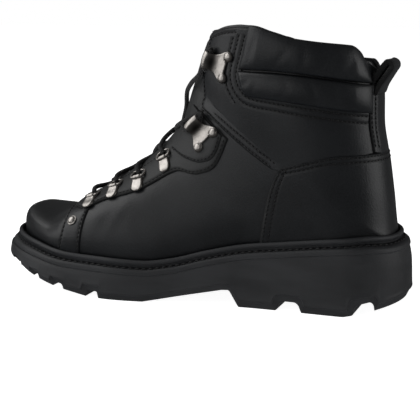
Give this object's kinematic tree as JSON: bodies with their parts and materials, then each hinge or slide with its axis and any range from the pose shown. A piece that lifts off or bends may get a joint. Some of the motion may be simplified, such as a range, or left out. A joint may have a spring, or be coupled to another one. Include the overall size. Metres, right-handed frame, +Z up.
{
  "type": "work boot",
  "caption": "Ankle-high lace-up work boot: round toe, lace rings and hooks on faced eyestays, padded two-roll collar, heel counter, back pull loop and a lugged rubber sole.",
  "frame": {"origin": "middle of the boot's bounding box at floor level, on the plane its heel and forefoot stand on", "axes": "+X from the toe to the heel, +Y to the inner (medial) side, +Z up"},
  "size_m": [0.298, 0.1126, 0.1834],
  "materials": {
    "leather": "smooth full-grain black, satin",
    "facing": "duller black facing leather",
    "rubber": "matt moulded black rubber",
    "welt_rubber": "satin black bead",
    "lining": "black textile footbed cover",
    "lace_cord": "black braided cord",
    "nickel": "antique nickel plate, polished"
  },
  "bodies": {
    "root": {"back_stay": "leather", "collar_pad_lower_lateral": "leather", "collar_pad_lower_medial": "leather", "collar_pad_upper_lateral": "leather", "collar_pad_upper_medial": "leather", "eyestay_lateral": "facing", "eyestay_medial": "facing", "heel_counter": "leather", "hook_panel_lateral": "facing", "hook_panel_medial": "facing", "insole": "lining", "lace_hook_1_lateral": "nickel", "lace_hook_1_medial": "nickel", "lace_hook_2_lateral": "nickel", "lace_hook_2_medial": "nickel", "lace_ring_1_lateral": "nickel", "lace_ring_1_medial": "nickel", "lace_ring_2_lateral": "nickel", "lace_ring_2_medial": "nickel", "lace_ring_3_lateral": "nickel", "lace_ring_3_medial": "nickel", "lace_ring_4_lateral": "nickel", "lace_ring_4_medial": "nickel", "laces": "lace_cord", "outsole": "rubber", "pull_loop": "leather", "ring_clip_1_lateral": "nickel", "ring_clip_1_medial": "nickel", "ring_clip_2_lateral": "nickel", "ring_clip_2_medial": "nickel", "ring_clip_3_lateral": "nickel", "ring_clip_3_medial": "nickel", "ring_clip_4_lateral": "nickel", "ring_clip_4_medial": "nickel", "shaft_panel_lateral": "leather", "shaft_panel_medial": "leather", "strap_rivet_lateral": "nickel", "strap_rivet_medial": "nickel", "toe_strap_lateral": "leather", "toe_strap_medial": "leather", "tongue": "facing", "upper": "leather", "welt": "welt_rubber"}
  },
  "joints": []
}
